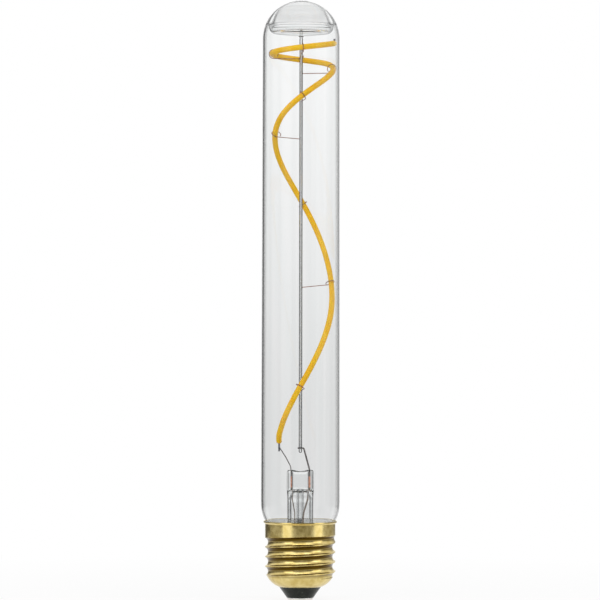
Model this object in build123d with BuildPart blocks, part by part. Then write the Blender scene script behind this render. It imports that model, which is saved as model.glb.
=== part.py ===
import math
import os
from build123d import *

# Whole lamp: cap down, axis on Z, the centre contact's foot at z = 0
overall_length = 225.0

# Glass envelope
tube_top_diameter = 28.9
tube_base_diameter = 29.6
glass_wall = 0.9
dome_wall = 0.55
bubble_inset = 4.35
seam_rise = 6.75
shoulder_radius = 4.75
neck_diameter = 22.4
neck_in_cap = 6.6
neck_below_rim = 0.49

# Top cup, fused into the dome at the seam: the bubble above it, the post below
cup_rise = 1.55
cup_gap = 1.5
cup_corner_radius = 2.9
cup_wall = 0.8
cup_floor = 0.5
cup_sag = 0.4
nub_drop = 1.3
nub_fillet = 0.9

# Stem
flare_diameter = 9.7
flare_curve_radius = 4.4
flare_length = 14.5
press_width = 10.1
press_depth = 3.8
press_floor_rise = 3.8
press_flattening = 4.5
press_length = 6.8
press_edge = 1.2
exhaust_diameter = 2.7
exhaust_bore = 1.6
exhaust_length = 21.7
exhaust_clearance = 0.1
blow_hole_rise = 2.9

# Post and its conductor
post_diameter = 1.25
post_foot_above_press = 6.4
return_wire_diameter = 0.4
post_cross_hole_above_foot = 1.8
upper_lead_below_ceiling = 4.0
upper_lead_diameter = 0.3

# Filament: quarter-turn stations from the lower end, which is at the left; slack in filament widths
filament_diameter = 2.1
filament_end_round = 0.35
filament_foot_above_press = 10.5
filament_head_below_ceiling = 2.9
filament_quarters = 9.85
coil_offset = 0.85
coil_slack_ratio = [1.88, 1.31, 0.827, 0.844, 0.94, 0.686, 0.66, 0.41, 0.409, 0.408, 0.43]
coil_rise_ratio = [0.0, 0.152, 0.368, 0.599, 0.758, 0.867, 0.936, 0.961, 0.972, 0.9845, 0.9985]
tab_width = 0.7
tab_thickness = 0.2
lower_tab_length = 3.2
upper_tab_length = 1.7
tab_set_in = 0.7
tab_elbow = 0.5

# Filament hooks, at these shares of the filament's length from its lower end
hook_places = [0.103, 0.28, 0.415, 0.545, 0.629, 0.713, 0.788, 0.862, 0.936]
hook_diameter = 0.28
hook_clearance = 0.06
hook_drop = 1.9
hook_seat_radius = 0.3
hook_ring_radius = 1.7
hook_ring_sweep = 310

# Lead wires
left_lead_diameter = 0.4
right_lead_diameter = 0.62
lead_spread = 3.5
lead_bend = 0.5
seal_below_press = 2.4
seal_above_floor = 0.9
weld_gap = 0.02
weld_run = 1.0
upper_weld_rise = 1.4
lower_weld_drop = 0.7
upper_lead_kink_reach = 2.4
left_lead_kink_reach = 2.6
left_lead_kink_rise = 4.6
lead_exit_rise = 1.4
outer_lead_bend = 0.8
gather_radius = 2.15
gather_drop = 4.5
cross_radius = 2.5
cross_rise = 3.0
lead_foot_drop = 1.5

# Screw cap
sheet = 0.3
cap_height = 29.6
lip_radius = 13.8
lip_height = 0.4
lip_slope = 0.6
collar_depth = 4.6
thread_pitch = 3.629
thread_crest_radius = 13.2
thread_depth = 1.095
thread_crest_width = 0.35
thread_crest_below_rim = 9.7
thread_turns = 4.25
thread_fade = 0.3
inner_thread_turns = 3.0
inner_thread_width = 2.2
inner_thread_depth = 0.7
bowl_radius = 8.0
bowl_centre_radius = 5.3
bowl_centre_height = 12.5
bowl_mouth_radius = 8.0
bowl_shoulder_radius = 12.55
cylinder_foot_height = 9.8

# Insulator and centre contact
seat_clearance = 0.1
insulator_foot_radius = 5.05
insulator_flange_radius = 10.6
insulator_top_height = 7.6
contact_radius = 4.8
contact_thickness = 0.9
contact_edge = 0.5
contact_shank_radius = 1.5
contact_shank_height = 5.0
contact_bore_radius = 0.6
contact_solder_recess = 0.1
contact_solder_height = 1.3

# Cement
cement_depth = 4.0
cement_set_back = 0.9
cement_creep = 0.3

# Driver
lead_pads = ((-3.6, -4.6), (3.6, -4.6))
board_radius = 9.0
board_thickness = 1.0
board_height = 14.0
rectifier_size = (4.7, 3.9, 2.4)
chip_size = (4.9, 3.9, 1.5)
capacitor_diameter = 6.4
capacitor_length = 5.4
pin_diameter = 0.5
pin_spread = 2.5
resistor_diameter = 2.2
resistor_length = 4.0
driver_wire_diameter = 0.5
pin_stick_out = 0.3
rectifier_place = (-4.2, 3.0)
chip_place = (4.2, 3.0)
capacitor_place = (4.6, -0.6)
resistor_place = (-4.2, -0.4)
neutral_place = -7.2
leg_width = 0.6
leg_reach = 0.7
joint_near_radius = 11.0
joint_far_radius = 11.75
joint_thickness = 0.5
joint_sweep = 14

tube_top_radius = tube_top_diameter / 2
tube_base_radius = tube_base_diameter / 2
neck_radius = neck_diameter / 2
flare_radius = flare_diameter / 2
post_radius = post_diameter / 2
filament_radius = filament_diameter / 2
hook_radius = hook_diameter / 2
neck_end_height = cap_height - neck_in_cap
flare_straight_height = neck_end_height + flare_length
press_floor_height = flare_straight_height + press_floor_rise
press_start_height = flare_straight_height + press_flattening
press_top_height = press_start_height + press_length
exhaust_tip_height = press_floor_height - exhaust_length
blow_hole_height = press_floor_height + blow_hole_rise
seal_top_height = press_top_height - seal_below_press
seal_foot_height = press_floor_height + seal_above_floor
thread_crest_height = cap_height - thread_crest_below_rim
shoulder_centre = tube_base_radius - shoulder_radius
outer_turn = math.degrees(math.acos((neck_radius - shoulder_centre) / shoulder_radius))
shoulder_height = cap_height - neck_below_rim + shoulder_radius * math.sin(math.radians(outer_turn))
dome_centre = overall_length - tube_top_radius
ceiling = dome_centre + cup_rise
post_top = ceiling - nub_drop
post_foot = press_top_height + post_foot_above_press
cross_hole_height = post_foot + post_cross_hole_above_foot
upper_lead_height = ceiling - upper_lead_below_ceiling
filament_foot = press_top_height + filament_foot_above_press
filament_head = ceiling - filament_head_below_ceiling


def eased(stations, place):
    index = min(int(place), len(stations) - 2)
    part_way = place - index
    before = stations[max(index - 1, 0)]
    start = stations[index]
    end = stations[index + 1]
    after = stations[min(index + 2, len(stations) - 1)]
    lift = (end - before) / 2
    fall = (after - start) / 2
    cubic = 2 * start - 2 * end + lift + fall
    square = 3 * end - 3 * start - 2 * lift - fall
    return start + part_way * (lift + part_way * (square + part_way * cubic))


def coil_point(quarter, spread=1.0):
    height = filament_foot + (filament_head - filament_foot) * eased(coil_rise_ratio, quarter)
    taper = (height - shoulder_height) / (dome_centre - shoulder_height)
    bore = tube_base_radius + (tube_top_radius - tube_base_radius) * taper - glass_wall
    reach = bore - filament_radius - filament_diameter * eased(coil_slack_ratio, quarter)
    angle = math.pi + quarter * math.pi / 2
    return Vector(
        coil_offset + spread * reach * math.cos(angle),
        spread * reach * math.sin(angle),
        height,
    )


def rounded_route(points):
    # the largest tangent arc at each corner that its two runs can hold, with straight ends
    runs = [(b - a).length for a, b in zip(points, points[1:])]
    last = len(runs) - 1
    radii = []
    for i in range(last):
        before = runs[i] * 0.48 if i > 0 else runs[i] - 3 * filament_end_round
        after = runs[i + 1] * 0.48 if i + 1 < last else runs[i + 1] - 3 * filament_end_round
        turn = (points[i + 1] - points[i]).get_angle(points[i + 2] - points[i + 1])
        radii.append(min(before, after) / math.tan(math.radians(turn / 2)))
    return radii


def bent_wire(points, bend, diameter):
    with BuildPart() as wire:
        with BuildLine() as route:
            FilletPolyline(*points, radius=bend)
        with BuildSketch(Plane(route.line @ 0, z_dir=route.line % 0)):
            Circle(diameter / 2)
        sweep(path=route.line)
    return wire.part


# Glass envelope: outer skin, neck, inner skin to the seam, then the bubble's roof
inner_shoulder = shoulder_radius - glass_wall
inner_turn = math.degrees(math.acos((neck_radius - glass_wall - shoulder_centre) / inner_shoulder))
inner_dome = tube_top_radius - glass_wall
seam_height = dome_centre + seam_rise
seam_turn = math.degrees(math.asin(seam_rise / inner_dome))
bubble_radius = tube_top_radius - bubble_inset
bubble_centre = overall_length - dome_wall - bubble_radius
roof_turn = math.degrees(math.asin((seam_height - bubble_centre) / bubble_radius))

with BuildPart() as glass_envelope:
    with BuildSketch(Plane.XZ):
        with BuildLine():
            dome = CenterArc((0, dome_centre), tube_top_radius, 90, -90)
            shoulder = CenterArc((shoulder_centre, shoulder_height), shoulder_radius, 0, -outer_turn)
            Line(dome @ 1, shoulder @ 0)
            neck = Polyline(
                shoulder @ 1,
                (neck_radius, neck_end_height),
                (neck_radius - glass_wall, neck_end_height),
            )
            inside = CenterArc((shoulder_centre, shoulder_height), inner_shoulder, -inner_turn, inner_turn)
            Line(neck @ 1, inside @ 0)
            inner_arc = CenterArc((0, dome_centre), inner_dome, 0, seam_turn)
            Line(inside @ 1, inner_arc @ 0)
            roof = CenterArc((0, bubble_centre), bubble_radius, roof_turn, 90 - roof_turn)
            Line(inner_arc @ 1, roof @ 0)
            Line(roof @ 1, dome @ 0)
        make_face()
    revolve(axis=Axis.Z)

# Top cup: sagging floor with the post's nub, round corner, wall up to the seam
corner_height = ceiling + cup_sag + cup_corner_radius
cup_radius = inner_dome - cup_gap
cup_flat_radius = cup_radius - cup_corner_radius

with BuildPart() as top_cup:
    with BuildSketch(Plane.XZ):
        with BuildLine():
            nub = CenterArc((post_radius + nub_fillet, ceiling - nub_fillet), nub_fillet, 180, -90)
            corner = CenterArc((cup_flat_radius, corner_height), cup_corner_radius, 270, 90)
            Line(nub @ 1, corner @ 0)
            wall = TangentArc(corner @ 1, inner_arc @ 1, tangent=(0, 1))
            Line(wall @ 1, roof @ 0)
            lining = TangentArc((cup_radius - cup_wall, corner_height), roof @ 0, tangent=(0, 1))
            heel = CenterArc((cup_flat_radius, corner_height), cup_corner_radius - cup_wall, 0, -90)
            Polyline(heel @ 1, (0, ceiling + cup_floor), (0, post_top), (post_radius, post_top), nub @ 0)
        make_face()
    revolve(axis=Axis.Z)

# Stem: flare, flattened press, lead holes and the blow hole
flare_curve_height = neck_end_height + flare_curve_radius
rim_start = flare_radius + flare_curve_radius
flare_bore = flare_radius - glass_wall
press_cavity_depth = exhaust_diameter + 2 * exhaust_clearance

with BuildPart() as stem_flare:
    with BuildSketch(Plane.XZ):
        with BuildLine():
            over = CenterArc((rim_start, flare_curve_height), flare_curve_radius, 180, 90)
            under = CenterArc((rim_start, flare_curve_height), flare_curve_radius + glass_wall, 180, 90)
            Polyline(over @ 1, (neck_radius, neck_end_height), (neck_radius, (under @ 1).Y), under @ 1)
            Polyline(
                under @ 0,
                (flare_bore, flare_straight_height),
                (flare_radius, flare_straight_height),
                over @ 0,
            )
        make_face()
    revolve(axis=Axis.Z)
    with BuildSketch(Plane.XY.offset(flare_straight_height)):
        Circle(flare_radius)
    with BuildSketch(Plane.XY.offset(press_start_height)):
        RectangleRounded(press_width, press_depth, press_depth / 2 - 0.05)
    loft()
    with BuildSketch(Plane.XY.offset(press_start_height)):
        RectangleRounded(press_width, press_depth, press_depth / 2 - 0.05)
    extrude(amount=press_top_height - press_start_height)
    fillet(stem_flare.edges().group_by(Axis.Z)[-1], press_edge)
    with BuildSketch(Plane.XY.offset(flare_straight_height)):
        Circle(flare_bore)
    with BuildSketch(Plane.XY.offset(press_floor_height)):
        RectangleRounded(2 * lead_spread + 1.4, press_cavity_depth, press_cavity_depth / 2 - 0.05)
    loft(mode=Mode.SUBTRACT)
    for side, size in ((-1, left_lead_diameter), (1, right_lead_diameter)):
        with BuildSketch(Plane.XY.offset(press_floor_height)):
            with Locations((side * lead_spread, 0)):
                Circle(size / 2)
        extrude(amount=press_top_height - press_floor_height, mode=Mode.SUBTRACT)
    with BuildSketch(Plane.XY.offset(press_floor_height)):
        Circle(exhaust_bore / 2)
    extrude(amount=blow_hole_height - press_floor_height, mode=Mode.SUBTRACT)
    with BuildSketch(Plane.XZ):
        with Locations((0, blow_hole_height)):
            Circle(exhaust_bore / 2)
    extrude(amount=-press_depth, mode=Mode.SUBTRACT)

with BuildPart() as exhaust_tube:
    with BuildSketch(Plane.XZ):
        with BuildLine():
            tip = CenterArc((0, exhaust_tip_height + exhaust_diameter / 2), exhaust_diameter / 2, 270, 90)
            hollow = CenterArc((0, exhaust_tip_height + exhaust_diameter), exhaust_bore / 2, 270, 90)
            Polyline(
                tip @ 1,
                (exhaust_diameter / 2, press_floor_height),
                (exhaust_bore / 2, press_floor_height),
                hollow @ 1,
            )
            Line(hollow @ 0, tip @ 0)
        make_face()
    revolve(axis=Axis.Z)

# Filament: arcs through the coil's corners, which stand outside the true coil
corner_step = 1 / 3
corner_spread = 1 / math.cos(corner_step * math.pi / 4)
corners = []
place = corner_step / 2
while place < filament_quarters - corner_step / 2:
    corners.append(coil_point(place, corner_spread))
    place += corner_step
coil_points = [coil_point(0)] + corners + [coil_point(filament_quarters)]

with BuildPart() as filament:
    with BuildLine() as coil:
        FilletPolyline(*coil_points, radius=rounded_route(coil_points))
    with BuildSketch(Plane(coil.line @ 0, z_dir=coil.line % 0)):
        Circle(filament_radius)
    sweep(path=coil.line)
    fillet(filament.edges().filter_by(GeomType.CIRCLE).sort_by_distance(coil.line @ 0)[0], filament_end_round)
    fillet(filament.edges().filter_by(GeomType.CIRCLE).sort_by_distance(coil.line @ 1)[0], filament_end_round)

# End tabs, set in the filament's ends and turned upright
foot_point = coil.line @ 0
foot_way = (coil.line % 0) * -1
head_point = coil.line @ 1
head_way = coil.line % 1


def tab_points(root, way, length):
    elbow = root + way * tab_elbow
    return [root - way * tab_set_in, elbow, elbow + Vector(0, 0, length)]


def end_tab(points):
    way = points[1] - points[0]
    with BuildPart() as tab:
        with BuildLine() as route:
            FilletPolyline(*points, radius=tab_elbow / 2)
        with BuildSketch(Plane(points[0], x_dir=(1, 0, 0), z_dir=way)):
            Rectangle(tab_width, tab_thickness)
        sweep(path=route.line)
    return tab.part


lower_tab_points = tab_points(foot_point, foot_way, -lower_tab_length)
upper_tab_points = tab_points(head_point, head_way, upper_tab_length)
lower_tab = end_tab(lower_tab_points)
upper_tab = end_tab(upper_tab_points)
with filament:
    for root, way in ((foot_point, foot_way), (head_point, head_way)):
        with BuildSketch(Plane(root, x_dir=(1, 0, 0), z_dir=way)):
            Rectangle(tab_width, tab_thickness)
        extrude(amount=-tab_set_in, mode=Mode.SUBTRACT)

# Hooks: about one at each quarter turn, from the post's wall to a ring square to the filament
coil_route = coil.wire()
ring_offset = hook_ring_radius - hook_radius - hook_clearance - filament_radius
hooks = []
hook_seats = []
for place in hook_places:
    centre = coil_route @ place
    run = coil_route % place
    start = Vector(0, 0, centre.Z - hook_drop)
    outward = (centre - start).normalized()
    reach = (centre - start).length - ring_offset
    square = (run - outward * run.dot(outward)).normalized()
    if square.cross(outward).Z < 0:
        square = square * -1
    lean = math.asin(hook_ring_radius / reach)
    way = outward * math.cos(lean) - square.cross(outward) * math.sin(lean)
    seat = Plane(start + way * hook_seat_radius, z_dir=way)
    with BuildPart() as hook:
        with BuildLine(Plane(start, x_dir=outward, z_dir=square)) as route:
            straight = reach * math.cos(lean)
            Line(
                (hook_seat_radius * math.cos(lean), -hook_seat_radius * math.sin(lean)),
                (straight * math.cos(lean), -straight * math.sin(lean)),
            )
            CenterArc((reach, 0), hook_ring_radius, 270 - math.degrees(lean), hook_ring_sweep)
        with BuildSketch(seat):
            Circle(hook_radius)
        sweep(path=route.line)
    hooks.append(hook.part)
    hook_seats.append(seat)

# Post: glass sleeve with a rounded foot, bored for its conductor, the leads and the hooks
with BuildPart() as centre_post:
    with BuildSketch(Plane.XZ):
        with BuildLine():
            foot = CenterArc((0, post_foot + post_radius), post_radius, 270, 90)
            Polyline(foot @ 1, (post_radius, post_top), (0, post_top), foot @ 0)
        make_face()
    revolve(axis=Axis.Z)
    with BuildSketch(Plane.XY.offset(cross_hole_height)):
        Circle(return_wire_diameter / 2)
    extrude(amount=upper_lead_height + upper_lead_diameter - cross_hole_height, mode=Mode.SUBTRACT)
    with BuildSketch(Plane.YZ):
        with Locations((0, cross_hole_height)):
            Circle(right_lead_diameter / 2)
    extrude(amount=post_diameter, both=True, mode=Mode.SUBTRACT)
    with BuildSketch(Plane.YZ):
        with Locations((0, upper_lead_height)):
            Circle(upper_lead_diameter / 2)
    extrude(amount=post_diameter, mode=Mode.SUBTRACT)
    for seat in hook_seats:
        with BuildSketch(seat):
            Circle(hook_radius)
        extrude(amount=post_diameter, mode=Mode.SUBTRACT)

with BuildPart() as return_wire:
    with BuildSketch(Plane.XY.offset(cross_hole_height + right_lead_diameter / 2)):
        Circle(return_wire_diameter / 2)
    extrude(amount=upper_lead_height + upper_lead_diameter - cross_hole_height - right_lead_diameter / 2)

# Lead wires
upper_weld_gap = (tab_thickness + upper_lead_diameter) / 2 + weld_gap
upper_weld = upper_tab_points[1] + Vector(0, upper_weld_gap, upper_weld_rise)
upper_lead = bent_wire(
    [
        (return_wire_diameter / 2, 0, upper_lead_height),
        (upper_weld.X - upper_lead_kink_reach, upper_lead_diameter, upper_lead_height + 0.1),
        (upper_weld.X, upper_weld.Y, upper_weld.Z - weld_run),
        tuple(upper_weld),
    ],
    0.4,
    upper_lead_diameter,
)
lower_weld_gap = (tab_thickness + left_lead_diameter) / 2 + weld_gap
lower_weld = lower_tab_points[1] + Vector(0, lower_weld_gap, -lower_weld_drop)
left_lead = bent_wire(
    [
        tuple(lower_weld),
        (lower_weld.X + 0.1, lower_weld.Y, lower_weld.Z - weld_run),
        (lower_weld.X + left_lead_kink_reach, 0.2, press_top_height + left_lead_kink_rise),
        (-lead_spread - 0.2, 0, press_top_height + lead_exit_rise),
        (-lead_spread, 0, press_top_height),
        (-lead_spread, 0, seal_top_height),
    ],
    lead_bend,
    left_lead_diameter,
)
right_lead = bent_wire(
    [
        (-post_radius - 0.4, 0, cross_hole_height),
        (2 * post_radius, 0, cross_hole_height),
        (lead_spread - 0.4, 0, press_top_height + lead_exit_rise),
        (lead_spread, 0, press_top_height - 0.2),
        (lead_spread, 0, seal_top_height),
    ],
    lead_bend,
    right_lead_diameter,
)


def seal_wire(side, diameter):
    with BuildPart() as seal:
        with BuildSketch(Plane.XY.offset(seal_foot_height)):
            with Locations((side * lead_spread, 0)):
                Circle(diameter / 2)
        extrude(amount=seal_top_height - seal_foot_height)
    return seal.part


def round_axis(radius, degrees, height):
    return radius * math.cos(math.radians(degrees)), radius * math.sin(math.radians(degrees)), height


left_seal_wire = seal_wire(-1, left_lead_diameter)
right_seal_wire = seal_wire(1, right_lead_diameter)
lead_foot = board_height - pin_stick_out
gather_height = flare_straight_height - gather_drop
left_outer_lead = bent_wire(
    [
        (-lead_spread, 0, seal_foot_height),
        (-lead_spread, 0, press_floor_height - outer_lead_bend),
        round_axis(gather_radius, 195, gather_height),
        round_axis(cross_radius, 220, neck_end_height + cross_rise),
        (*lead_pads[0], neck_end_height - lead_foot_drop),
        (*lead_pads[0], lead_foot),
    ],
    outer_lead_bend,
    left_lead_diameter,
)
right_outer_lead = bent_wire(
    [
        (lead_spread, 0, seal_foot_height),
        (lead_spread, 0, press_floor_height - outer_lead_bend),
        round_axis(gather_radius, 306, gather_height),
        round_axis(cross_radius, 282, neck_end_height + cross_rise),
        (*lead_pads[1], neck_end_height - lead_foot_drop),
        (*lead_pads[1], lead_foot),
    ],
    outer_lead_bend,
    right_lead_diameter,
)

# Screw shell: thick blank, helical groove outside and helical hollow inside
thread_root = thread_crest_radius - thread_depth
groove_width = thread_pitch - thread_crest_width
shell_bore = thread_root - sheet
collar_bore = thread_crest_radius - sheet
lip_foot = cap_height - lip_height - lip_slope
lip_step = sheet * 0.4
thread_shelf = cap_height - collar_depth


def bowl_turn(radius, reach):
    return -math.degrees(math.acos((reach - bowl_centre_radius) / radius))


def bowl_arc(radius, near, far):
    start = bowl_turn(radius, near)
    return CenterArc((bowl_centre_radius, bowl_centre_height), radius, start, bowl_turn(radius, far) - start)


def thread_plane(height, degrees):
    across = Vector(math.cos(math.radians(degrees)), math.sin(math.radians(degrees)), 0)
    return Plane((0, 0, height), x_dir=across, z_dir=across.cross(Vector(0, 0, 1)))


def thread_path(height, degrees, turns, growth=0.0):
    rise = thread_pitch * turns
    cone = math.degrees(math.atan(growth / rise))
    path = Edge.make_helix(thread_pitch, rise, thread_root, angle=cone)
    return path.moved(Location((0, 0, height), (0, 0, degrees)))


def helical_cut(height, degrees, mouth, bottom, width, clear):
    with BuildSketch(thread_plane(height, degrees)) as section:
        with BuildLine():
            arc = ThreePointArc((mouth, -width / 2), (bottom, 0), (mouth, width / 2))
            Polyline(arc @ 1, (clear, width / 2), (clear, -width / 2), arc @ 0)
        make_face()
    return section.sketch


groove_start = thread_crest_height - 3.5 * thread_pitch
fade_height = groove_start + thread_turns * thread_pitch
fade_degrees = 180 + thread_turns * 360
hollow_start = thread_crest_height - 2.5 * thread_pitch
groove_sizes = (thread_crest_radius, thread_root, groove_width, thread_crest_radius + 1)
hollow_sizes = (shell_bore, shell_bore + inner_thread_depth, inner_thread_width, shell_bore - sheet)
groove = helical_cut(groove_start, 180, *groove_sizes)
fading_groove = helical_cut(fade_height, fade_degrees, *groove_sizes)
hollow = helical_cut(hollow_start, 0, *hollow_sizes)

with BuildPart() as screw_shell:
    with BuildSketch(Plane.XZ):
        with BuildLine():
            bowl = bowl_arc(bowl_radius, bowl_mouth_radius, bowl_shoulder_radius)
            lining = bowl_arc(bowl_radius - sheet, bowl_mouth_radius, shell_bore)
            Polyline(
                bowl @ 1,
                (thread_crest_radius, cylinder_foot_height),
                (thread_crest_radius, lip_foot),
                (lip_radius, lip_foot + lip_slope),
                (lip_radius, cap_height),
                (lip_radius - sheet, cap_height),
                (lip_radius - sheet, lip_foot + lip_slope + lip_step),
                (collar_bore, lip_foot + lip_step),
                (collar_bore, thread_shelf),
                (shell_bore, thread_shelf - 1.0),
                lining @ 1,
            )
            Line(lining @ 0, bowl @ 0)
        make_face()
    revolve(axis=Axis.Z)
    sweep(groove, thread_path(groove_start, 180, thread_turns), is_frenet=True, mode=Mode.SUBTRACT)
    sweep(
        fading_groove,
        thread_path(fade_height, fade_degrees, thread_fade, thread_depth + 0.1),
        is_frenet=True,
        mode=Mode.SUBTRACT,
    )
    sweep(hollow, thread_path(hollow_start, 0, inner_thread_turns), is_frenet=True, mode=Mode.SUBTRACT)

# Cement between the glass neck and the shell's collar
with BuildPart() as base_cement:
    with BuildSketch(Plane.XZ):
        with BuildLine():
            Polyline(
                (neck_radius, cap_height - cement_depth),
                (collar_bore, cap_height - cement_depth),
                (collar_bore, cap_height - cement_set_back),
                (neck_radius, cap_height - cement_set_back + cement_creep),
                close=True,
            )
        make_face()
    revolve(axis=Axis.Z)

# Insulator: cone through the shell's mouth, flange inside the bowl
with BuildPart() as insulator:
    with BuildSketch(Plane.XZ):
        with BuildLine():
            flange = bowl_arc(
                bowl_radius - sheet - seat_clearance,
                bowl_mouth_radius + seat_clearance,
                insulator_flange_radius,
            )
            cone_top = bowl_mouth_radius - seat_clearance
            Polyline(
                flange @ 0,
                (cone_top, (flange @ 0).Y),
                (cone_top, (bowl @ 0).Y),
                (insulator_foot_radius, contact_thickness),
                (contact_shank_radius, contact_thickness),
                (contact_shank_radius, insulator_top_height),
                (insulator_flange_radius, insulator_top_height),
                flange @ 1,
            )
        make_face()
    revolve(axis=Axis.Z)

with BuildPart() as centre_contact:
    with BuildSketch(Plane.XZ):
        with BuildLine():
            edge = CenterArc((contact_radius - contact_edge, contact_edge), contact_edge, 270, 90)
            Polyline(
                edge @ 1,
                (contact_radius, contact_thickness),
                (contact_shank_radius, contact_thickness),
                (contact_shank_radius, contact_shank_height),
                (contact_bore_radius, contact_shank_height),
                (contact_bore_radius, 0),
                edge @ 0,
            )
        make_face()
    revolve(axis=Axis.Z)

with BuildPart() as contact_solder:
    with BuildSketch(Plane.XY.offset(contact_solder_recess)):
        Circle(contact_bore_radius)
    extrude(amount=contact_solder_height - contact_solder_recess)

# Driver board and what it carries
board_top = board_height + board_thickness
board_holes = [
    (lead_pads[0], left_lead_diameter),
    (lead_pads[1], right_lead_diameter),
    ((capacitor_place[0] - pin_spread / 2, capacitor_place[1]), pin_diameter),
    ((capacitor_place[0] + pin_spread / 2, capacitor_place[1]), pin_diameter),
    (resistor_place, driver_wire_diameter),
    ((neutral_place, 0), driver_wire_diameter),
]

with BuildPart() as driver_board:
    with BuildSketch(Plane.XY.offset(board_height)):
        Circle(board_radius)
        for spot, size in board_holes:
            with Locations(spot):
                Circle(size / 2, mode=Mode.SUBTRACT)
    extrude(amount=board_thickness)


def chip_package(place, size):
    with BuildPart() as package:
        with BuildSketch(Plane.XY.offset(board_top + 0.1)):
            with Locations(place):
                Rectangle(size[0], size[1])
        extrude(amount=size[2] - 0.1)
        chamfer(package.faces().sort_by(Axis.Z)[-1].edges(), 0.25)
        with BuildSketch(Plane.XY.offset(board_top)):
            for along in (-1, 1):
                for across in (-1, 1):
                    with Locations((place[0] + along * size[0] / 4, place[1] + across * size[1] / 2)):
                        Rectangle(leg_width, leg_reach * 2)
        extrude(amount=0.3)
    return package.part


bridge_rectifier = chip_package(rectifier_place, rectifier_size)
driver_chip = chip_package(chip_place, chip_size)

with BuildPart() as capacitor:
    with BuildSketch(Plane.XY.offset(board_height)):
        with Locations(capacitor_place):
            Circle(capacitor_diameter / 2)
    extrude(amount=-capacitor_length)
    fillet(capacitor.edges().group_by(Axis.Z)[0], 0.5)
    with BuildSketch(Plane.XY.offset(board_height)):
        with Locations(capacitor_place):
            with GridLocations(pin_spread, 0, 2, 1):
                Circle(pin_diameter / 2)
    extrude(amount=board_thickness + pin_stick_out)

resistor_foot = insulator_top_height + 0.9
with BuildPart() as fuse_resistor:
    with BuildLine() as route:
        FilletPolyline(
            (*resistor_place, board_top + pin_stick_out),
            (*resistor_place, resistor_foot),
            (0, 0, resistor_foot),
            (0, 0, contact_solder_height),
            radius=driver_wire_diameter,
        )
    with BuildSketch(Plane(route.line @ 0, z_dir=route.line % 0)):
        Circle(driver_wire_diameter / 2)
    sweep(path=route.line)
    with BuildSketch(Plane.XY.offset(board_height - 0.5)):
        with Locations(resistor_place):
            Circle(resistor_diameter / 2)
    extrude(amount=-resistor_length)

# Neutral side: wire from the board to a soldered joint on the bowl's lining
lining_radius = bowl_radius - sheet
joint_start = bowl_turn(lining_radius, joint_near_radius)
joint_turn = bowl_turn(lining_radius, joint_far_radius) - joint_start
with BuildPart() as neutral_joint:
    with BuildSketch(thread_plane(0, 180 - joint_sweep / 2)):
        with BuildLine():
            bowl_middle = (bowl_centre_radius, bowl_centre_height)
            outer = CenterArc(bowl_middle, lining_radius, joint_start, joint_turn)
            inner = CenterArc(bowl_middle, lining_radius - joint_thickness, joint_start, joint_turn)
            Line(outer @ 0, inner @ 0)
            Line(outer @ 1, inner @ 1)
        make_face()
    revolve(axis=Axis.Z, revolution_arc=joint_sweep)

joint_way = math.radians(joint_start + joint_turn / 2)
wire_end = lining_radius - joint_thickness - 0.02
bend_reach = (-neutral_place - bowl_centre_radius) / math.cos(joint_way)
neutral_wire = bent_wire(
    [
        (neutral_place, 0, board_top + pin_stick_out),
        (neutral_place, 0, bowl_centre_height + bend_reach * math.sin(joint_way)),
        (
            -bowl_centre_radius - wire_end * math.cos(joint_way),
            0,
            bowl_centre_height + wire_end * math.sin(joint_way),
        ),
    ],
    driver_wire_diameter,
    driver_wire_diameter,
)

pieces = {
    "glass_envelope": glass_envelope.part,
    "top_cup": top_cup.part,
    "stem_flare": stem_flare.part,
    "exhaust_tube": exhaust_tube.part,
    "centre_post": centre_post.part,
    "return_wire": return_wire.part,
    "upper_lead": upper_lead,
    "filament": filament.part,
    "lower_tab": lower_tab,
    "upper_tab": upper_tab,
    "left_lead": left_lead,
    "right_lead": right_lead,
    "left_seal_wire": left_seal_wire,
    "right_seal_wire": right_seal_wire,
    "left_outer_lead": left_outer_lead,
    "right_outer_lead": right_outer_lead,
    "base_cement": base_cement.part,
    "screw_shell": screw_shell.part,
    "insulator": insulator.part,
    "centre_contact": centre_contact.part,
    "contact_solder": contact_solder.part,
    "driver_board": driver_board.part,
    "bridge_rectifier": bridge_rectifier,
    "driver_chip": driver_chip,
    "capacitor": capacitor.part,
    "fuse_resistor": fuse_resistor.part,
    "neutral_wire": neutral_wire,
    "neutral_joint": neutral_joint.part,
}
for number, hook in enumerate(hooks, 1):
    pieces[f"support_hook_{number}"] = hook

os.makedirs("parts", exist_ok=True)
for name, piece in pieces.items():
    piece.label = name
    export_step(piece, f"parts/{name}.step")
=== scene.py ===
import math

import bmesh
import bpy
from mathutils import Matrix, Vector


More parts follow.
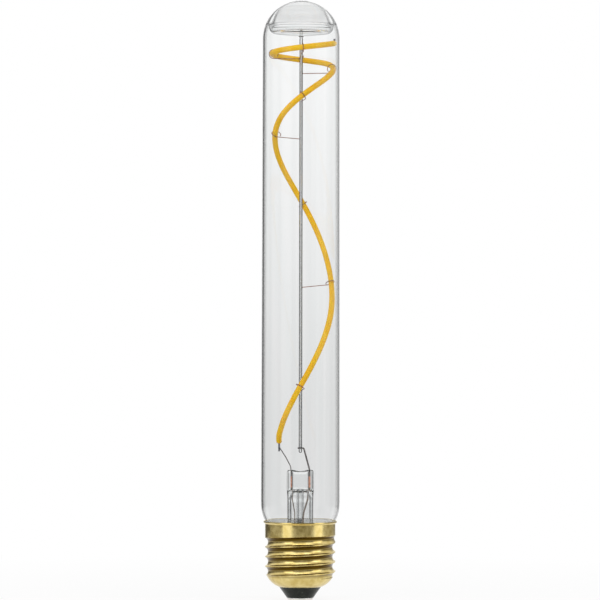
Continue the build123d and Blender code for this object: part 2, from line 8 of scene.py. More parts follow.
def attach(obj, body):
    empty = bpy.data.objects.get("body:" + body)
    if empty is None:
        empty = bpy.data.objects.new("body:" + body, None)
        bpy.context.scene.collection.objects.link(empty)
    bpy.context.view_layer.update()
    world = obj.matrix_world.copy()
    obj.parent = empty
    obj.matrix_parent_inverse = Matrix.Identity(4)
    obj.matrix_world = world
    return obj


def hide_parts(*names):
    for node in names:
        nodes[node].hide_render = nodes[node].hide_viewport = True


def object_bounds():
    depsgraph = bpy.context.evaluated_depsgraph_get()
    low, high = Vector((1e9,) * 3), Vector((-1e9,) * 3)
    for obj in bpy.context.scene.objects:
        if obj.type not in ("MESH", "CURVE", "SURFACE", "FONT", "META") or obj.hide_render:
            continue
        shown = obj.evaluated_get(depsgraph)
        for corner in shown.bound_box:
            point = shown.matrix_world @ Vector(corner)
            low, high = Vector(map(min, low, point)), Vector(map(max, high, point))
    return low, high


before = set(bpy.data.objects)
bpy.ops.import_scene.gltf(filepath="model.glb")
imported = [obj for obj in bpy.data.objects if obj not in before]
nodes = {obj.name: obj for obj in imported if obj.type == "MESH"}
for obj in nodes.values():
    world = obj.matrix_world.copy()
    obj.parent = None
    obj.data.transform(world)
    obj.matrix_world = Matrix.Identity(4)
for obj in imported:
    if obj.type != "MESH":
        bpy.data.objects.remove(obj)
cadLow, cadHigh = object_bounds()
print("frame loaded with", len(nodes), "lamp pieces")

scene = bpy.context.scene
scene.view_settings.view_transform = "Standard"
white = (1.0, 1.0, 1.0, 1.0)


def grey(level):
    return (level, level, level, 1.0)


def newFinish(name):
    finish = bpy.data.materials.new(name)
    finish.use_nodes = True
    tree = finish.node_tree
    return finish, tree, tree.nodes["Principled BSDF"]


def wire(tree, source, target):
    tree.links.new(source, target)


def feed(tree, value, target):
    # a socket takes another node's output or a plain value
    if isinstance(value, bpy.types.NodeSocket):
        wire(tree, value, target)
    else:
        target.default_value = value


def ranged(tree, value, start, end, low=0.0, high=1.0, kind="LINEAR"):
    # low up to start, high from end on
    span = tree.nodes.new("ShaderNodeMapRange")
    span.interpolation_type = kind
    span.inputs["From Min"].default_value = start
    span.inputs["From Max"].default_value = end
    span.inputs["To Min"].default_value = low
    span.inputs["To Max"].default_value = high
    wire(tree, value, span.inputs["Value"])
    return span.outputs["Result"]


def combined(tree, operation, first, second):
    result = tree.nodes.new("ShaderNodeMath")
    result.operation = operation
    wire(tree, first, result.inputs[0])
    wire(tree, second, result.inputs[1])
    return result.outputs["Value"]


def blended(tree, factor, below, above, kind="MIX"):
    mix = tree.nodes.new("ShaderNodeMix")
    mix.data_type = "RGBA"
    mix.blend_type = kind
    feed(tree, factor, mix.inputs["Factor"])
    feed(tree, below, mix.inputs["A"])
    feed(tree, above, mix.inputs["B"])
    return mix.outputs["Result"]


def reachOf(tree, vector):
    reach = tree.nodes.new("ShaderNodeVectorMath")
    reach.operation = "LENGTH"
    wire(tree, vector, reach.inputs[0])
    return reach.outputs["Value"]


def partsOf(tree, vector):
    parts = tree.nodes.new("ShaderNodeSeparateXYZ")
    wire(tree, vector, parts.inputs["Vector"])
    return parts.outputs["X"], parts.outputs["Y"], parts.outputs["Z"]


def speckle(tree, scale, detail=3.0, stretch=(1.0, 1.0, 1.0)):
    # cloudy noise in the lamp's own metres; a small stretch draws it out along that axis
    place = tree.nodes.new("ShaderNodeTexCoord")
    shape = tree.nodes.new("ShaderNodeMapping")
    shape.inputs["Scale"].default_value = stretch
    noise = tree.nodes.new("ShaderNodeTexNoise")
    noise.inputs["Scale"].default_value = scale
    noise.inputs["Detail"].default_value = detail
    wire(tree, place.outputs["Object"], shape.inputs["Vector"])
    wire(tree, shape.outputs["Vector"], noise.inputs["Vector"])
    return noise.outputs["Fac"]


def twoTone(tree, fac, dark, light, start=0.35, end=0.65):
    ramp = tree.nodes.new("ShaderNodeValToRGB")
    low, high = ramp.color_ramp.elements
    low.position, high.position = start, end
    low.color = (*dark, 1.0)
    high.color = (*light, 1.0)
    wire(tree, fac, ramp.inputs["Fac"])
    return ramp.outputs["Color"]


def greyRamp(tree, fac, stops):
    ramp = tree.nodes.new("ShaderNodeValToRGB")
    band = ramp.color_ramp
    band.elements[0].position = stops[0][0]
    band.elements[1].position = stops[-1][0]
    for place, level in stops[1:-1]:
        band.elements.new(place)
    for element, (place, level) in zip(band.elements, stops):
        element.color = grey(level)
    wire(tree, fac, ramp.inputs["Fac"])
    return ramp.outputs["Color"]


def spread(tree, fac, low, high, start=0.3, end=0.7):
    # the middle of a noise, where most of it lies, spread over low to high
    return ranged(tree, fac, start, end, low, high)


def ripple(tree, shader, fac, strength, depth):
    bump = tree.nodes.new("ShaderNodeBump")
    bump.inputs["Strength"].default_value = strength
    bump.inputs["Distance"].default_value = depth
    wire(tree, fac, bump.inputs["Height"])
    wire(tree, bump.outputs["Normal"], shader.inputs["Normal"])


def dress(finish, *names):
    for name in names:
        piece = nodes[name]
        if not piece.material_slots:
            piece.data.materials.append(finish)
        for spot in piece.material_slots:
            spot.material = finish


def placed(name, mesh, finish):
    piece = bpy.data.objects.new(name, mesh)
    scene.collection.objects.link(piece)
    piece.data.materials.append(finish)
    return piece


# what all the lamp's glass shares
drawnStreaks = {
    "detail": 2.0,
    "stretch": (1.0, 1.0, 0.06),
    "depth": 0.00005,
    "facing": 0.5,
}
envelopeLook = {
    "tint": (1.0, 1.0, 1.0),
    "streakTint": (0.975, 0.985, 0.985),
    "streakScale": 220.0,
    "haze": 0.006,
    "waves": 0.008,
    "ior": 1.47,
    "mirror": 0.45,
    "edgeShadeStart": 0.72,
    "edgeShadeEnd": 0.96,
    "edgeShadeTint": (0.24, 0.25, 0.26),
    "soakTint": (0.80, 0.83, 0.83),
    "soak": 20.0,
}
stemLook = {
    "tint": (1.0, 1.0, 1.0),
    "streakTint": (0.96, 0.97, 0.97),
    "streakScale": 500.0,
    "haze": 0.01,
    "waves": 0.06,
    "ior": 1.52,
    "mirror": 0.8,
    "edgeShadeStart": 0.4,
    "edgeShadeEnd": 0.65,
    "edgeShadeTint": (0.05, 0.05, 0.05),
    "soakTint": (0.80, 0.82, 0.82),
    "soak": 150.0,
}
postLook = {
    "tint": (1.0, 1.0, 1.0),
    "streakTint": (0.93, 0.94, 0.94),
    "streakScale": 900.0,
    "haze": 0.02,
    "waves": 0.06,
    "ior": 1.5,
    "mirror": 0.8,
    "edgeShadeStart": 0.1,
    "edgeShadeEnd": 0.26,
    "edgeShadeTint": (0.01, 0.01, 0.01),
    "soakTint": (0.7, 0.72, 0.72),
    "soak": 150.0,
}


def drawnGlass(name, look):
    # clear drawn glass: faint streaks along the tube, and painted shade that greys the colour towards the
    # edges where the surface turns away from view
    finish, tree, glass = newFinish(name)
    streaks = speckle(tree, look["streakScale"], drawnStreaks["detail"], drawnStreaks["stretch"])
    tint = twoTone(tree, streaks, look["streakTint"], look["tint"])
    # painted shade: Layer Weight's facing darkens the glass's colour at grazing edges, in place of the dark
    # edge lines the glass shows
    turned = tree.nodes.new("ShaderNodeLayerWeight")
    turned.inputs["Blend"].default_value = drawnStreaks["facing"]
    rim = ranged(tree, turned.outputs["Facing"], look["edgeShadeStart"], look["edgeShadeEnd"])
    wire(tree, blended(tree, rim, tint, (*look["edgeShadeTint"], 1.0)), glass.inputs["Base Color"])
    wire(tree, spread(tree, streaks, 0.0, look["haze"]), glass.inputs["Roughness"])
    glass.inputs["IOR"].default_value = look["ior"]
    glass.inputs["Transmission Weight"].default_value = 1.0
    glass.inputs["Specular Tint"].default_value = grey(look["mirror"])
    ripple(tree, glass, streaks, look["waves"], drawnStreaks["depth"])
    soak = tree.nodes.new("ShaderNodeVolumeAbsorption")
    soak.inputs["Color"].default_value = (*look["soakTint"], 1.0)
    soak.inputs["Density"].default_value = look["soak"]
    wire(tree, soak.outputs["Volume"], tree.nodes["Material Output"].inputs["Volume"])
    return finish


def bend(middle, radius, start, end, steps):
    # points on an arc of the profile, degrees from straight out
    points = []
    for step in range(steps + 1):
        angle = math.radians(start + (end - start) * step / steps)
        points.append((middle[0] + radius * math.cos(angle), middle[1] + radius * math.sin(angle)))
    return points


def run(start, end, steps):
    return [
        (start[0] + (end[0] - start[0]) * step / steps, start[1] + (end[1] - start[1]) * step / steps)
        for step in range(steps + 1)
    ]


def flick(start, end, steps):
    # arc that leaves start straight up and ends at end
    across, up = end[0] - start[0], end[1] - start[1]
    radius = (across * across + up * up) / (2 * abs(across))
    sweep = math.degrees(math.asin(up / radius))
    if across < 0:
        return bend((start[0] - radius, start[1]), radius, 0, sweep, steps)
    return bend((start[0] + radius, start[1]), radius, 180, 180 - sweep, steps)


def between(a, b, c, d, way):
    # a smooth step from b to c, with a before them and d after
    first = (c - a) * way
    second = (2 * a - 5 * b + 4 * c - d) * way ** 2
    third = (3 * b - a - 3 * c + d) * way ** 3
    return (2 * b + first + second + third) / 2


def eased(stations, steps):
    # smooth line through a few stations
    points = []
    ends = [stations[0], *stations, stations[-1]]
    for four in zip(ends, ends[1:], ends[2:], ends[3:]):
        for step in range(steps):
            points.append(tuple(between(*values, step / steps) for values in zip(*four)))
    return points + [stations[-1]]


def lined(points, wall):
    # the same line moved inwards by the wall
    inner = []
    for i, (radius, height) in enumerate(points):
        before, after = points[max(i - 1, 0)], points[min(i + 1, len(points) - 1)]
        across, up = after[0] - before[0], after[1] - before[1]
        length = math.hypot(across, up)
        inner.append((radius + up / length * wall, height - across / length * wall))
    return inner


def melted(points, rounds):
    # heat rounds off every corner of a finely divided profile
    for turn in range(rounds):
        inner = [
            tuple((before[i] + 2 * here[i] + after[i]) / 4 for i in range(2))
            for before, here, after in zip(points, points[1:], points[2:])
        ]
        points = [points[0], *inner, points[-1]]
    return points


def smooth(low, high, value):
    way = min(max((value - low) / (high - low), 0.0), 1.0)
    return way * way * (3 - 2 * way)


def turnsOf(slices, shift=0.0):
    return [2 * math.pi * (step + shift) / slices for step in range(slices)]


def hoop(radius, height, turns):
    return [(radius * math.cos(turn), radius * math.sin(turn), height) for turn in turns]


def wrapped(body, top, rings, foot):
    # skin over a stack of rings that closes to a point at both ends
    slices = len(rings[0])
    for step in range(slices):
        onward = (step + 1) % slices
        body.faces.new((top, rings[0][step], rings[0][onward]))
        for upper, lower in zip(rings, rings[1:]):
            body.faces.new((upper[step], lower[step], lower[onward], upper[onward]))
        body.faces.new((rings[-1][step], foot, rings[-1][onward]))


def lathe(body, profile, slices):
    # spin a profile that starts and ends on the axis
    first = body.verts.new((0.0, 0.0, profile[0][1]))
    last = body.verts.new((0.0, 0.0, profile[-1][1]))
    turns = turnsOf(slices)
    rings = [[body.verts.new(point) for point in hoop(*station, turns)] for station in profile[1:-1]]
    wrapped(body, first, rings, last)


def meshOf(body, name, crease):
    # smooth mesh with edges only where it turns by more than the crease, in degrees
    mesh = bpy.data.meshes.new(name)
    body.to_mesh(mesh)
    body.free()
    mesh.shade_smooth()
    mesh.set_sharp_from_angle(angle=math.radians(crease))
    return mesh


tubeGlass = {
    "topRadius": 0.01445,
    "wall": 0.0009,
    "apex": 0.225,
    "bubble": [  # the roof's inner skin, from the axis down to the cup's widest place
        (0.0, 0.22445), (0.0037, 0.22393), (0.0069, 0.2224), (0.0089, 0.2204),
        (0.0101, 0.2185), (0.0108, 0.2170), (0.0112, 0.2159), (0.01135, 0.2148),
    ],
    "seam": 0.2156,
    "shoulder": [  # outer skin where the tube closes in and enters the cap
        (0.01479, 0.0372), (0.01472, 0.0352), (0.01445, 0.0331), (0.0139, 0.0312),
        (0.0131, 0.0294), (0.0123, 0.0279), (0.0115, 0.0264), (0.0112, 0.0252),
    ],
    "neckRadius": 0.0112,
    "neckFoot": 0.023,
    "ceiling": 0.2117,
    "cupRadius": 0.01205,
    "cupCorner": 0.0023,
    "cupWall": 0.0007,
    "cupFloor": 0.0004,
    "cupSag": 0.0008,
    "nubRadius": 0.000625,
    "nubFillet": 0.0008,
    "nubFoot": 0.21082,
    "crevice": 0.00012,  # how wide the melt closes the gap beside the cup
    "meltRounds": 6,
    "slices": 160,
    "steps": {
        "dome": 48, "wall": 24, "shoulder": 5, "neck": 4, "bowl": 36, "cupSide": 24,
        "corner": 20, "nub": 10, "ceiling": 12, "bubble": 10, "heel": 16, "floor": 16,
    },
    "crease": 40,
}


def fusedTube(look):
    steps, wall, topRadius = look["steps"], look["wall"], look["topRadius"]
    boreRadius = topRadius - wall
    domeMiddle = look["apex"] - topRadius
    seamTurn = math.degrees(math.asin((look["seam"] - domeMiddle) / boreRadius))
    cornerHeight = look["ceiling"] + look["cupSag"] + look["cupCorner"]
    corner = (look["cupRadius"] - look["cupCorner"], cornerHeight)

    outside = bend((0.0, domeMiddle), topRadius, 90, 0, steps["dome"])
    shoulder = eased(look["shoulder"], steps["shoulder"])
    outside += run((topRadius, domeMiddle), shoulder[0], steps["wall"])[1:]
    outside += shoulder[1:]
    neck = run(outside[-1], (look["neckRadius"], look["neckFoot"]), steps["neck"])[1:]
    neck += [(look["neckRadius"] - wall, look["neckFoot"])]
    inside = lined(shoulder, wall)[::-1]
    inside += run(inside[-1], (boreRadius, domeMiddle), steps["wall"])[1:]
    bowl = bend((0.0, domeMiddle), boreRadius, 0, seamTurn, steps["bowl"])
    cupSide = flick((look["cupRadius"], cornerHeight), bowl[-1], steps["cupSide"])

    # the wedge between bowl and cup ends where it is narrower than the melt
    def gapAt(height):
        bowlRadius = math.sqrt(boreRadius ** 2 - (height - domeMiddle) ** 2)
        near = min(cupSide, key=lambda point: abs(point[1] - height))
        return bowlRadius - near[0]

    bowl = [point for point in bowl if gapAt(point[1]) > look["crevice"] or point[1] < cornerHeight]
    cupSide = [point for point in cupSide if gapAt(point[1]) > look["crevice"]]
    crownHeight = max(bowl[-1][1], cupSide[-1][1]) + look["crevice"] / 2
    crown = ((bowl[-1][0] + cupSide[-1][0]) / 2, crownHeight)
    under = cupSide[::-1] + bend(corner, look["cupCorner"], 0, -90, steps["corner"])[1:]
    nubMiddle = (look["nubRadius"] + look["nubFillet"], look["ceiling"] - look["nubFillet"])
    nub = bend(nubMiddle, look["nubFillet"], 90, 180, steps["nub"])
    under += run(under[-1], nub[0], steps["ceiling"])[1:] + nub[1:]
    under += [(look["nubRadius"], look["nubFoot"]), (0.0, look["nubFoot"])]
    skin = outside + neck + inside + bowl[1:] + [crown] + under

    heel = bend(corner, look["cupCorner"] - look["cupWall"], 0, -90, steps["heel"])
    hollow = eased(look["bubble"], steps["bubble"]) + heel[1:]
    hollow += run(hollow[-1], (0.0, look["ceiling"] + look["cupFloor"]), steps["floor"])[1:]
    hollow = melted(hollow, look["meltRounds"])

    body = bmesh.new()
    lathe(body, skin, look["slices"])
    lathe(body, hollow[::-1], look["slices"])
    return meshOf(body, "tubeGlass", look["crease"])


stemGlass = {
    "flareRadius": 0.00485,
    "boreRadius": 0.00395,
    "curveRadius": 0.0044,
    "wall": 0.0009,
    "rimRadius": 0.0111,
    "rim": 0.02298,
    "waist": 0.0375,  # where the round flare starts to flatten
    "press": 0.0420,
    "shoulder": 0.0475,
    "top": 0.0488,
    "dip": 0.0005,  # the press is a little lower between its ears
    "dipReach": (0.0015, 0.0032),
    "width": 0.00505,
    "core": 0.00095,
    "ear": 0.0013,
    "crownTurn": 84,
    "crownTaper": 0.14,  # how far the rounded top draws in sideways
    "floor": 0.0412,
    "slit": 0.0015,  # half depth of the flattened bore
    "slitBy": 0.85,
    "closing": [  # share of the bore's width, by share of its rise to the floor
        (0.97, 0.2), (0.95, 0.45), (0.95, 0.7), (0.93, 0.88), (0.82, 0.97), (0.5, 0.995),
    ],
    "slices": 128,
    "steps": {"crown": 6, "press": 8, "squeeze": 12, "curve": 12, "tube": 10},
    "crease": 50,
}


def pinched(look, turns, height, shrink=1.0):
    # one level of the flat press, thin in the middle and swollen around the two leads
    points = []
    middle = look["width"] - look["ear"]
    narrow = 1 - (1 - shrink) * look["crownTaper"]
    sinking = smooth(look["press"], look["top"], height)
    for turn in turns:
        across = look["width"] * math.cos(turn)
        off = abs(abs(across) - middle)
        swell = math.sqrt(max(look["ear"] ** 2 - off ** 2, 0.0))
        deep = swell if abs(across) > middle else max(swell, look["core"])
        dip = look["dip"] * (1 - smooth(*look["dipReach"], abs(across))) * sinking
        points.append((across * narrow, math.copysign(deep * shrink, math.sin(turn)), height - dip))
    return points


def squeezed(flat, wide, steps):
    # levels that go from the flat press to the round flare
    levels = []
    for step in range(1, steps + 1):
        way = smooth(0, steps, step)
        levels.append([
            (b[0] + (a[0] - b[0]) * way, b[1] + (a[1] - b[1]) * way, b[2] + (a[2] - b[2]) * step / steps)
            for a, b in zip(wide, flat)
        ])
    return levels


def pressedStem(look):
    # round flare squeezed into a flat press that swells around the two leads
    steps = look["steps"]
    turns = turnsOf(look["slices"], 0.5)
    loops = []
    for step in range(steps["crown"] + 1):
        angle = math.radians(look["crownTurn"] - look["crownTurn"] * step / steps["crown"])
        rise = look["shoulder"] + (look["top"] - look["shoulder"]) * math.sin(angle)
        loops.append(pinched(look, turns, rise, math.cos(angle)))
    for step in range(1, steps["press"] + 1):
        rise = look["shoulder"] + (look["press"] - look["shoulder"]) * step / steps["press"]
        loops.append(pinched(look, turns, rise))
    waist = (look["flareRadius"], look["waist"])
    loops += squeezed(loops[-1], hoop(*waist, turns), steps["squeeze"])

    curveMiddle = (look["flareRadius"] + look["curveRadius"], look["rim"] + look["curveRadius"])
    over = bend(curveMiddle, look["curveRadius"], 180, 270, steps["curve"])
    under = bend(curveMiddle, look["curveRadius"] + look["wall"], 270, 180, steps["curve"])
    flare = run(waist, over[0], steps["tube"])[1:] + over[1:]
    flare += [(look["rimRadius"], look["rim"]), (look["rimRadius"], look["rim"] - look["wall"])]
    flare += under + run(under[-1], (look["boreRadius"], look["waist"]), steps["tube"])[1:]
    loops += [hoop(*point, turns) for point in flare]

    for share, way in look["closing"]:
        rise = look["waist"] + (look["floor"] - look["waist"]) * way
        wide = look["boreRadius"]
        deep = wide + (look["slit"] - wide) * smooth(0.0, look["slitBy"], way)
        loops.append([
            (wide * share * math.cos(turn), deep * share * math.sin(turn), rise) for turn in turns
        ])

    body = bmesh.new()
    rings = [[body.verts.new(point) for point in loop] for loop in loops]
    top = body.verts.new((0.0, 0.0, look["top"] - look["dip"]))
    roof = body.verts.new((0.0, 0.0, look["floor"]))
    wrapped(body, top, rings, roof)
    bmesh.ops.recalc_face_normals(body, faces=body.faces)
    return meshOf(body, "pressedStem", look["crease"])


tube = placed("tubeGlass", fusedTube(tubeGlass), drawnGlass("clearDrawnGlass", envelopeLook))
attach(tube, "root")
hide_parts("glass_envelope", "top_cup")
stemFinish = drawnGlass("stemGlass", stemLook)
stem = placed("pressedStem", pressedStem(stemGlass), stemFinish)
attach(stem, "root")
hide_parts("stem_flare")
dress(stemFinish, "exhaust_tube")
dress(drawnGlass("postGlass", postLook), "centre_post")
for piece in (tube, stem, nodes["exhaust_tube"], nodes["centre_post"]):
    piece.visible_shadow = False  # lamps reach the wires inside
print("glass dressed")

wireDents = {"strength": 0.15, "depth": 0.00003}
nickelLook = {
    "dark": (0.10, 0.09, 0.09), "light": (0.24, 0.22, 0.21),
    "grain": 1500.0, "smooth": 0.25, "rough": 0.45,
}
tinnedLook = {
    "dark": (0.70, 0.70, 0.70), "light": (0.86, 0.86, 0.85),
    "grain": 1500.0, "smooth": 0.25, "rough": 0.45,
}
leadLook = {
    "dark": (0.13, 0.10, 0.08), "light": (0.30, 0.24, 0.19),
    "grain": 1500.0, "smooth": 0.3, "rough": 0.5,
}
hookLook = {
    "dark": (0.20, 0.085, 0.06), "light": (0.44, 0.21, 0.15),
    "grain": 1800.0, "smooth": 0.3, "rough": 0.5,
}
copperLook = {
    "dark": (0.55, 0.22, 0.14), "light": (0.80, 0.42, 0.30),
    "grain": 1500.0, "smooth": 0.25, "rough": 0.4,
}
tabLook = {
    "dark": (0.10, 0.10, 0.11), "light": (0.22, 0.22, 0.23),
    "grain": 1200.0, "smooth": 0.25, "rough": 0.4,
}
contactLook = {
    "dark": (0.68, 0.68, 0.65), "light": (0.86, 0.86, 0.82),
    "grain": 900.0, "smooth": 0.22, "rough": 0.4,
}
solderLook = {
    "dark": (0.45, 0.45, 0.45), "light": (0.66, 0.66, 0.65),
    "grain": 1600.0, "smooth": 0.3, "rough": 0.5,
}
canLook = {
    "dark": (0.60, 0.60, 0.60), "light": (0.74, 0.74, 0.74),
    "grain": 900.0, "smooth": 0.25, "rough": 0.4,
}


def drawnWire(name, look):
    finish, tree, metal = newFinish(name)
    grain = speckle(tree, look["grain"])
    wire(tree, twoTone(tree, grain, look["dark"], look["light"]), metal.inputs["Base Color"])
    wire(tree, spread(tree, grain, look["smooth"], look["rough"]), metal.inputs["Roughness"])
    metal.inputs["Metallic"].default_value = 1.0
    ripple(tree, metal, grain, wireDents["strength"], wireDents["depth"])
    return finish


dress(drawnWire("nickelWire", nickelLook), "left_lead", "right_lead", "upper_lead")
dress(drawnWire("tinnedWire", tinnedLook), "return_wire")
dress(drawnWire("leadWire", leadLook), "left_outer_lead", "right_outer_lead", "neutral_wire")
dress(drawnWire("hookWire", hookLook), *(f"support_hook_{number}" for number in range(1, 10)))
dress(drawnWire("copperWire", copperLook), "left_seal_wire", "right_seal_wire")
dress(drawnWire("tabMetal", tabLook), "lower_tab", "upper_tab")
dress(drawnWire("contactMetal", contactLook), "centre_contact")
dress(drawnWire("solder", solderLook), "contact_solder", "neutral_joint")
dress(drawnWire("capacitorCan", canLook), "capacitor")
print("wires dressed")

phosphorLook = {
    "deep": (0.82, 0.45, 0.005),
    "bright": (0.94, 0.57, 0.012),
    "toneRange": (0.2, 0.75),
    "cloud": 220.0,
    "cloudDetail": 4.0,
    "roughness": (0.38, 0.55),
    "shine": 0.15,
    "glowThrough": 0.3,  # light that spreads inside the coat
    "glowTint": (1.0, 0.5, 0.1),
    "glowDepth": 0.0006,
    "waves": 0.05,
    "waveDepth": 0.00005,
}


def phosphorCoat(look):
    finish, tree, coat = newFinish("phosphorCoat")
    cloud = speckle(tree, look["cloud"], look["cloudDetail"])
    colour = twoTone(tree, cloud, look["deep"], look["bright"], *look["toneRange"])
    wire(tree, colour, coat.inputs["Base Color"])
    wire(tree, spread(tree, cloud, *look["roughness"]), coat.inputs["Roughness"])
    coat.inputs["Specular IOR Level"].default_value = look["shine"]
    coat.inputs["Subsurface Weight"].default_value = look["glowThrough"]
    coat.inputs["Subsurface Radius"].default_value = look["glowTint"]
    coat.inputs["Subsurface Scale"].default_value = look["glowDepth"]
    ripple(tree, coat, cloud, look["waves"], look["waveDepth"])
    return finish


dress(phosphorCoat(phosphorLook), "filament")
print("filament dressed")

brassLook = {
    "worn": (0.60, 0.455, 0.15),
    "bright": (0.80, 0.65, 0.28),
    "ridgeShade": (0.09, 0.052, 0.004),  # painted shade under the thread's ridges, on faces that look down
    "crestRadius": 0.0131,
    "rootRadius": 0.0129,
    "underside": (-0.25, 0.3),  # how far the skin looks down, full painted shade first
    "bowlTop": (0.0085, 0.0105),  # the bowl below the thread stays bright, without painted shade
    "grain": 350.0,
    "grainDetail": 5.0,
    "smooth": 0.14,
    "rough": 0.26,
    "dents": 0.08,
    "dentDepth": 0.0001,
}


def rolledBrass(look):
    finish, tree, metal = newFinish("rolledBrass")
    grain = speckle(tree, look["grain"], look["grainDetail"])
    polish = twoTone(tree, grain, look["worn"], look["bright"])
    place = tree.nodes.new("ShaderNodeTexCoord").outputs["Object"]
    normal = tree.nodes.new("ShaderNodeNewGeometry").outputs["Normal"]
    flatten = tree.nodes.new("ShaderNodeVectorMath")
    flatten.operation = "MULTIPLY"
    flatten.inputs[1].default_value = (1.0, 1.0, 0.0)
    wire(tree, place, flatten.inputs[0])
    reach = reachOf(tree, flatten.outputs["Vector"])
    # painted shade: thread roots whose faces look down get the dark colour
    groove = ranged(tree, reach, look["rootRadius"], look["crestRadius"], 1.0, 0.0)
    under = ranged(tree, partsOf(tree, normal)[2], *look["underside"], 1.0, 0.0)
    above = ranged(tree, partsOf(tree, place)[2], *look["bowlTop"])
    ridgeShadeMask = combined(tree, "MULTIPLY", combined(tree, "MULTIPLY", groove, under), above)
    wire(tree, blended(tree, ridgeShadeMask, polish, (*look["ridgeShade"], 1.0)), metal.inputs["Base Color"])
    wire(tree, spread(tree, grain, look["smooth"], look["rough"]), metal.inputs["Roughness"])
    metal.inputs["Metallic"].default_value = 1.0
    ripple(tree, metal, grain, look["dents"], look["dentDepth"])
    return finish


dress(rolledBrass(brassLook), "screw_shell")
print("cap dressed")

skinDents = {"detail": 4.0, "strength": 0.15, "depth": 0.00005}
insulatorLook = {
    "dark": (0.010, 0.013, 0.010), "light": (0.026, 0.031, 0.025),
    "grain": 500.0, "smooth": 0.12, "rough": 0.3, "shine": 0.2,
}
cementLook = {
    "dark": (0.92, 0.92, 0.90), "light": (0.97, 0.97, 0.95),
    "grain": 900.0, "smooth": 0.8, "rough": 0.95, "shine": 0.3,
}
boardLook = {
    "dark": (0.03, 0.10, 0.05), "light": (0.05, 0.16, 0.08),
    "grain": 600.0, "smooth": 0.35, "rough": 0.5, "shine": 0.5,
}
chipLook = {
    "dark": (0.010, 0.010, 0.011), "light": (0.028, 0.028, 0.030),
    "grain": 1500.0, "smooth": 0.45, "rough": 0.65, "shine": 0.5,
}
resistorLook = {
    "dark": (0.35, 0.28, 0.16), "light": (0.52, 0.43, 0.27),
    "grain": 900.0, "smooth": 0.4, "rough": 0.6, "shine": 0.5,
}


def mouldedSkin(name, look):
    finish, tree, skin = newFinish(name)
    grain = speckle(tree, look["grain"], skinDents["detail"])
    wire(tree, twoTone(tree, grain, look["dark"], look["light"]), skin.inputs["Base Color"])
    wire(tree, spread(tree, grain, look["smooth"], look["rough"]), skin.inputs["Roughness"])
    skin.inputs["Specular IOR Level"].default_value = look["shine"]
    ripple(tree, skin, grain, skinDents["strength"], skinDents["depth"])
    return finish


cementRing = {
    "neckRadius": 0.01131,
    "collarRadius": 0.01288,
    "lipRadius": 0.01345,
    "foot": 0.0256,
    "lipFoot": 0.0288,
    "lipTop": 0.0293,
    "brim": 0.0294,
    "bevel": 0.0001,
    "film": 0.00003,  # how far the cement stays off the glass
    "slices": 128,
    "crease": 40,
}


def cementBead(look):
    # squeezed up between glass and collar, hollow where it hugs the shoulder
    profile = [
        (look["neckRadius"], look["foot"]),
        (look["collarRadius"], look["foot"]),
        (look["collarRadius"], look["lipFoot"]),
        (look["lipRadius"], look["lipTop"]),
        (look["lipRadius"] - look["bevel"], look["brim"]),
    ]
    for radius, height in eased(tubeGlass["shoulder"], tubeGlass["steps"]["shoulder"]):
        if look["foot"] + look["bevel"] < height < look["brim"] + look["bevel"]:
            profile.append((radius + look["film"], height))
    body = bmesh.new()
    turns = turnsOf(look["slices"])
    rings = [[body.verts.new(point) for point in hoop(*station, turns)] for station in profile]
    for ring, onwardRing in zip(rings, rings[1:] + rings[:1]):
        for step in range(look["slices"]):
            onward = (step + 1) % look["slices"]
            body.faces.new((ring[step], ring[onward], onwardRing[onward], onwardRing[step]))
    bmesh.ops.recalc_face_normals(body, faces=body.faces)
    return meshOf(body, "baseCement", look["crease"])


dress(mouldedSkin("blackGlass", insulatorLook), "insulator")
cement = placed("baseCement", cementBead(cementRing), mouldedSkin("baseCement", cementLook))
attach(cement, "root")
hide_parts("base_cement")
dress(mouldedSkin("boardLaminate", boardLook), "driver_board")
dress(mouldedSkin("chipPlastic", chipLook), "bridge_rectifier", "driver_chip")
dress(mouldedSkin("resistorLacquer", resistorLook), "fuse_resistor")
print("insulator and driver dressed")

floorLook = {
    "colour": (0.88, 0.88, 0.88),
    "roughness": 0.9,
    "radius": 0.3,
    "segments": 96,
    "drop": 0.0001,
    "glow": 0.9,  # white of its own beside the lamp; the rest is light and shadow
    "shadowReach": 0.05,
    "fadeEnd": 0.9,  # share of the radius where the shadow has run out
}


def palePaint(look):
    # white to the camera and in the metal, with a soft shadow round the lamp's foot
    paint, tree, skin = newFinish("palePaint")
    skin.inputs["Base Color"].default_value = (*look["colour"], 1.0)
    skin.inputs["Roughness"].default_value = look["roughness"]
    rays = tree.nodes.new("ShaderNodeLightPath")
    seen = combined(tree, "MAXIMUM", rays.outputs["Is Camera Ray"], rays.outputs["Is Glossy Ray"])
    reach = reachOf(tree, tree.nodes.new("ShaderNodeTexCoord").outputs["Object"])
    fade = ranged(tree, reach, look["shadowReach"], look["radius"] * look["fadeEnd"], look["glow"], 1.0)
    glow = tree.nodes.new("ShaderNodeEmission")
    glow.inputs["Color"].default_value = white
    blend = tree.nodes.new("ShaderNodeMixShader")
    wire(tree, combined(tree, "MULTIPLY", seen, fade), blend.inputs["Fac"])
    wire(tree, skin.outputs["BSDF"], blend.inputs[1])
    wire(tree, glow.outputs["Emission"], blend.inputs[2])
    wire(tree, blend.outputs["Shader"], tree.nodes["Material Output"].inputs["Surface"])
    return paint


floorMesh = bpy.data.meshes.new("paleFloor")
sheet = bmesh.new()
bmesh.ops.create_circle(sheet, cap_ends=True, segments=floorLook["segments"], radius=floorLook["radius"])
sheet.to_mesh(floorMesh)
sheet.free()
floor = placed("paleFloor", floorMesh, palePaint(floorLook))
floor.location.z = -floorLook["drop"]
floor.visible_transmission = False  # through the glass only the studio is seen

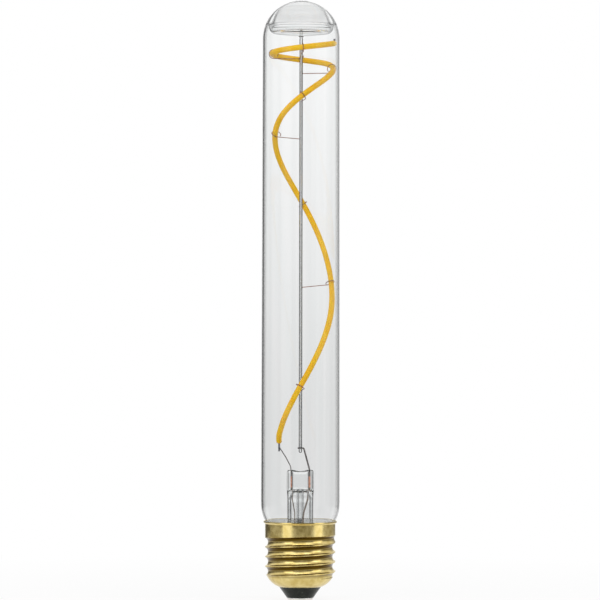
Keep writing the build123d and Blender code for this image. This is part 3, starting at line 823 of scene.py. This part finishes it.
# bearings are degrees from straight behind the lamp; slopes are the height of a sight line of length 1
studioLook = {
    "ambient": 0.55,  # what soft bounced light sees
    "gaps": {  # dark gaps between the panels, seen through the glass
        -156: 0.6, -111: 0.6, -66: 0.6, -24: 0.14, 24: 0.4, 66: 0.6, 111: 0.6, 156: 0.6,
    },
    "gapHalf": 6,
    "gapEdge": 11,
    "panelTop": (0.15, 0.4),  # slopes over which the gaps end above the panels
    "slopeRange": (-0.3, 0.9),
    "slopes": [  # levels seen through the glass: dimmer just below level, a dark gap overhead
        (-0.3, 0.97), (-0.15, 0.84), (-0.06, 0.73), (-0.025, 0.77), (0.012, 0.86), (0.056, 0.95),
        (0.1, 0.98), (0.24, 0.98), (0.32, 0.4), (0.5, 0.4), (0.58, 1.0),
    ],
    "mirror": [  # levels seen in the metal: dark room on the camera's side, white strip behind
        (-180, 0.16), (-130, 0.16), (-100, 0.3), (-70, 0.3), (-60, 0.12), (-20, 0.12), (-12, 1.0),
        (12, 1.0), (20, 0.35), (70, 0.4), (100, 0.3), (130, 0.16), (180, 0.16),
    ],
    "ceiling": (0.12, 0.5),  # slopes over which the metal's upper flanks start to see white
}


def studioAir(look):
    studio = bpy.data.worlds.new("studio")
    studio.use_nodes = True
    tree = studio.node_tree
    tree.nodes.clear()
    rays = tree.nodes.new("ShaderNodeLightPath")
    aim = tree.nodes.new("ShaderNodeTexCoord")
    across, away, rise = partsOf(tree, aim.outputs["Generated"])
    turn = ranged(tree, combined(tree, "ARCTAN2", across, away), -math.pi, math.pi)
    low, high = look["slopeRange"]

    def horizon(stops):
        return greyRamp(tree, turn, [(bearing / 360 + 0.5, level) for bearing, level in stops])

    panels = []
    for bearing, level in look["gaps"].items():
        panels += [(bearing - look["gapEdge"], 1.0), (bearing - look["gapHalf"], level)]
        panels += [(bearing + look["gapHalf"], level), (bearing + look["gapEdge"], 1.0)]
    panelTop = ranged(tree, rise, *look["panelTop"], kind="SMOOTHSTEP")
    walls = blended(tree, panelTop, horizon(panels), white)
    slopes = [((slope - low) / (high - low), level) for slope, level in look["slopes"]]
    sightLine = greyRamp(tree, ranged(tree, rise, low, high), slopes)
    seeThrough = blended(tree, 1.0, walls, sightLine, "MULTIPLY")
    ceiling = ranged(tree, rise, *look["ceiling"], kind="SMOOTHSTEP")
    mirrored = blended(tree, ceiling, horizon(look["mirror"]), white)

    air = blended(tree, rays.outputs["Is Glossy Ray"], grey(look["ambient"]), mirrored)
    air = blended(tree, rays.outputs["Is Transmission Ray"], air, seeThrough)
    air = blended(tree, rays.outputs["Is Camera Ray"], air, white)
    sky = tree.nodes.new("ShaderNodeBackground")
    wire(tree, air, sky.inputs["Color"])
    ground = tree.nodes.new("ShaderNodeOutputWorld")
    wire(tree, sky.outputs["Background"], ground.inputs["Surface"])
    return studio


scene.world = studioAir(studioLook)

softBoxes = {
    "leftBox": {"bearing": -43.0, "tilt": 8.0, "distance": 0.8, "size": (0.5, 0.7), "radiance": 1.3},
    "rightBox": {"bearing": 62.0, "tilt": 8.0, "distance": 0.8, "size": (0.48, 0.7), "radiance": 1.3},
    "topBox": {"bearing": 0.0, "tilt": 70.0, "distance": 0.8, "size": (0.7, 0.5), "radiance": 1.4},
}
middle = (cadLow + cadHigh) / 2
for name, box in softBoxes.items():
    lamp = bpy.data.lights.new(name, "AREA")
    lamp.shape = "RECTANGLE"
    lamp.size, lamp.size_y = box["size"]
    lamp.energy = box["radiance"] * math.pi * lamp.size * lamp.size_y
    holder = bpy.data.objects.new(name, lamp)
    bearing, tilt = math.radians(box["bearing"]), math.radians(box["tilt"])  # bearing 0 is the camera's side
    away = Vector((math.sin(bearing) * math.cos(tilt), -math.cos(bearing) * math.cos(tilt), math.sin(tilt)))
    holder.location = middle + away * box["distance"]
    holder.rotation_euler = away.to_track_quat("Z", "Y").to_euler()
    holder.visible_camera = False
    holder.visible_transmission = False
    scene.collection.objects.link(holder)
print("studio lit")

cameraLook = {"eye": (-0.00026, -1.5, 0.1126), "lens": 239.65, "sensor": 36.0, "roll": 0.115}
eye = bpy.data.cameras.new("frontCamera")
eye.lens = cameraLook["lens"]
eye.sensor_width = cameraLook["sensor"]
stand = bpy.data.objects.new("frontCamera", eye)
turnUp = Matrix.Rotation(math.radians(90), 4, "X")
roll = Matrix.Rotation(math.radians(cameraLook["roll"]), 4, "Z")
stand.matrix_world = Matrix.Translation(cameraLook["eye"]) @ turnUp @ roll
scene.collection.objects.link(stand)
scene.camera = stand
print("camera placed")
